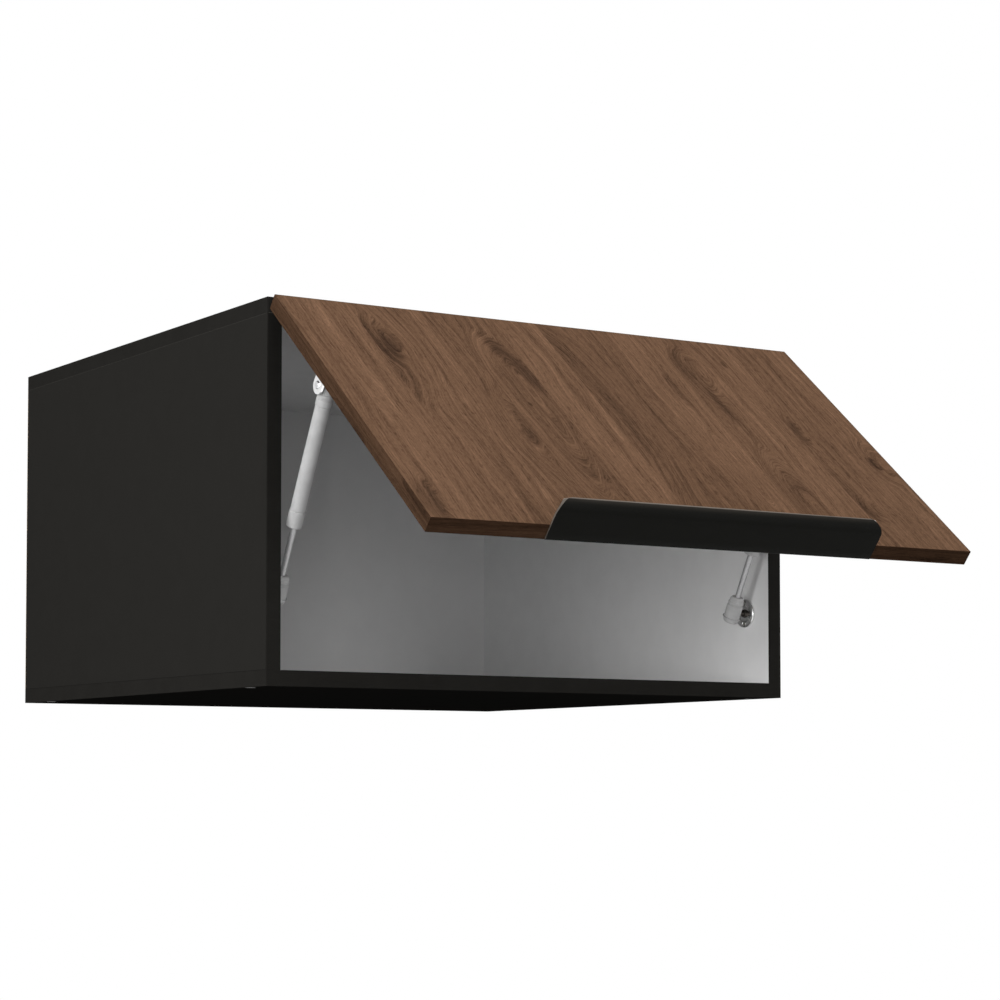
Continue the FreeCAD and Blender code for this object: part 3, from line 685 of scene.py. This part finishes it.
for side, name in ((-1, "left"), (1, "right")):
    for end, ball, outline, body in (("lower", lower_ball, lower_outline, "_strut_rod"),
                                     ("upper", upper_ball, upper_outline, "_strut_tube")):
        stand = placing(Vector((side * ball.x, ball.y, ball.z)), strut_up, Vector((side, 0, 0)))
        form = bmesh.new()
        turned(form, outline + ([(0.0, 0.0170)] if end == "lower" else []), stand, 64)
        hollow = bmesh.new()
        ball_room = [(room_radius * math.sin(math.pi * a / 16), -room_radius * math.cos(math.pi * a / 16))
                     for a in range(11)]
        ball_room += [(0.0043, 0.0052), (0.0043, 0.0080), (0.0048, 0.0086), (0.0048, 0.012), (0.0, 0.012)]
        turned(hollow, ball_room, placing(stand.translation, Vector((side, 0, 0)), strut_up), 40)
        socket = carved(finished_mesh(form, "barrel"), finished_mesh(hollow, "hollow"))
        add_piece(name + "_" + end + "_barrel", socket, plastic, name + body, "socket_white",
                  name + "_" + end + "_socket")

# Socket clips: sprung wire rings that snap round the sockets and keep them on the balls.
wire = Finish("spring wire", 0.5)
drawn = wire.place.noise((900, 900, 900), 3)
wire.set(Base_Color=drawn.step(0.3, 0.7).blend(rgb(170, 170, 171), rgb(192, 192, 193)), Metallic=1.0,
         Roughness=drawn.step(0.3, 0.7, 0.35, 0.5))
wire.relief(drawn, 0.00002)
finish_nodes(wire, "left_lower_clip", "right_lower_clip", "left_upper_clip", "right_upper_clip")

# Strut tubes: drawn steel tube, rolled in at the ends and painted white. A white plastic cap is
# pressed over the lower end, where the rod comes out.
enamel = Finish("white enamel", 0.08)
settled = enamel.place.noise((90, 90, 90), 3)
peel = enamel.place.noise((800, 800, 800), 2)
enamel.set(Base_Color=settled.step(0.3, 0.7).blend(rgb(194, 194, 194), rgb(203, 203, 203)),
           Roughness=peel.step(0.3, 0.7, 0.3, 0.42))
enamel.relief(peel, 0.00004)
tube_outline = eased([(0.0031, 0.0690, 0), (0.0070, 0.0690, 0.0006), (0.0075, 0.0700, 0.0004),
                      (0.0075, 0.0835, 0.0001), (0.0069, 0.0838, 0.0002), (0.0069, 0.0842, 0.0002),
                      (0.0075, 0.0845, 0.0002), (0.0075, 0.1863, 0.0008), (0.0067, 0.1871, 0.0003),
                      (0.0077, 0.1871, 0.0003), (0.0080, 0.1876, 0.0005), (0.0080, 0.1934, 0.0006),
                      (0.0, 0.1934, 0)])
cap_outline = eased([(0.0031, 0.0671, 0), (0.0070, 0.0671, 0.0008), (0.0080, 0.0680, 0.0010),
                     (0.0080, 0.0834, 0.0006), (0.0075, 0.0837, 0.0001), (0.0075, 0.0690, 0)])
for side, name in ((-1, "left"), (1, "right")):
    stand = placing(Vector((side * lower_ball.x, lower_ball.y, lower_ball.z)), strut_up, Vector((side, 0, 0)))
    for part, outline, slot in (("strut_tube", tube_outline, "strut_white"),
                                ("strut_tube_cap", cap_outline, "strut_cap")):
        form = bmesh.new()
        turned(form, outline, stand, 72)
        add_piece(name + "_" + part + "_turned", finished_mesh(form, part), enamel, name + "_strut_tube",
                  slot, name + "_" + part)

# Strut rods: ground and chromed steel that slides in and out of the tube through a black guide.
# The piston on its inner end is plain steel.
chrome = Finish("chromed rod", 0.5)
ground = chrome.place.noise((700, 700, 700), 3)
chrome.set(Base_Color=ground.step(0.3, 0.7).blend(rgb(164, 164, 165), rgb(176, 176, 177)), Metallic=0.5,
           Roughness=ground.step(0.3, 0.7, 0.4, 0.5))
chrome.relief(ground, 0.00001)
finish_nodes(chrome, "left_strut_rod", "right_strut_rod", "left_strut_piston", "right_strut_piston")
guide = Finish("black guide", 0.2)
guide_grain = guide.place.noise((1100, 1100, 1100), 2)
guide.set(Base_Color=guide_grain.step(0.3, 0.7).blend(rgb(34, 34, 34), rgb(46, 46, 46)),
          Roughness=guide_grain.step(0.3, 0.7, 0.4, 0.55))
finish_nodes(guide, "left_rod_guide", "right_rod_guide")

# The studio: soft lamps on the left, in front, low on the right and overhead, and a stronger one
# behind on the right, above a pale floor far below the cabinet. The camera stands low and to the
# left and looks slightly up into the opening. Floor and sky show pale to the camera, in gloss and
# through glass, the floor fading to white with distance, and both light the object only a little.
scene = bpy.context.scene
scene.view_settings.view_transform = "Standard"
cabinet_middle = Vector((0, -0.45, 0.2))


def softbox(name, place, size, power):
    """A square lamp that faces the cabinet."""
    data = bpy.data.lights.new(name, "AREA")
    data.shape = "SQUARE"
    data.size = size
    data.energy = power
    lamp = bpy.data.objects.new(name, data)
    lamp.location = place
    lamp.rotation_euler = (cabinet_middle - Vector(place)).to_track_quat("-Z", "Y").to_euler()
    scene.collection.objects.link(lamp)


softbox("lamp_left_low", (-3.2, -1.6, 0.5), 1.8, 44)
softbox("lamp_left", (-3.4, -0.4, 1.2), 1.8, 31)
softbox("lamp_front_left", (-2.4, -3.0, 0.3), 1.6, 27)
softbox("lamp_front", (0.9, -3.4, 0.2), 0.8, 15)
softbox("lamp_right_low", (2.2, -2.6, -0.4), 1.2, 12)
softbox("lamp_front_low", (-0.6, -3.4, -0.3), 1.6, 3.5)
softbox("lamp_overhead", (0, -1.6, 3.2), 2.0, 73)
softbox("lamp_right_behind", (3.4, 1.1, 1.3), 2.2, 120)


def seen_by(tree):
    """One for what the camera sees, straight or in gloss or through glass."""
    path = tree.nodes.new("ShaderNodeLightPath")
    straight, gloss, clear = [Tone(tree, path.outputs["Is %s Ray" % ray])
                              for ray in ("Camera", "Glossy", "Transmission")]
    return straight.maths("MAXIMUM", straight.maths("MAXIMUM", straight, gloss), clear)


world = bpy.data.worlds.new("studio")
scene.world = world
world.use_nodes = True
sky_dim = world.node_tree.nodes["Background"]
sky_dim.inputs["Color"].default_value = (1, 1, 1, 1)
sky_dim.inputs["Strength"].default_value = 0.25
seen = seen_by(world.node_tree)
sky_white = seen.node("Background", {}, {"Color": (1.0, 1.0, 1.0), "Strength": 1.0})
sky = seen.node("MixShader", {}, {0: seen, 1: Tone(world.node_tree, sky_dim.outputs[0]), 2: sky_white})
world.node_tree.links.new(sky.socket, world.node_tree.nodes["World Output"].inputs["Surface"])

floor_z = -1.45
floor_reach = 9
form = bmesh.new()
bmesh.ops.create_circle(form, cap_ends=True, radius=floor_reach, segments=96,
                        matrix=Matrix.Translation((0, 0, floor_z)))
floor = bpy.data.objects.new("floor", finished_mesh(form, "floor"))
scene.collection.objects.link(floor)
paint = Finish("floor paint", 0.0)
x, y, _ = paint.axes()
far_off = (x * x + y * y).step(1.5, 22.0)
seen = seen_by(paint.tree)
dark = (0.0, 0.0, 0.0)
paint.set(Base_Color=seen.blend((0.09, 0.09, 0.09), far_off.blend(rgb(214, 214, 213), dark)), Roughness=0.9,
          Emission_Color=seen.blend(dark, far_off.blend(rgb(206, 206, 206), (1.0, 1.0, 1.0))),
          Emission_Strength=1.0)
floor.data.materials.append(paint.material)

camera_data = bpy.data.cameras.new("camera")
camera_data.sensor_width = 36.0
camera_data.lens = 95.4375
camera_data.shift_y = 0.15
camera = bpy.data.objects.new("camera", camera_data)
camera.location = (-1.42418, -2.73217, -0.09457)
camera.rotation_euler = (math.radians(93.0077), 0, math.radians(-32.5233))
scene.collection.objects.link(camera)
scene.camera = camera
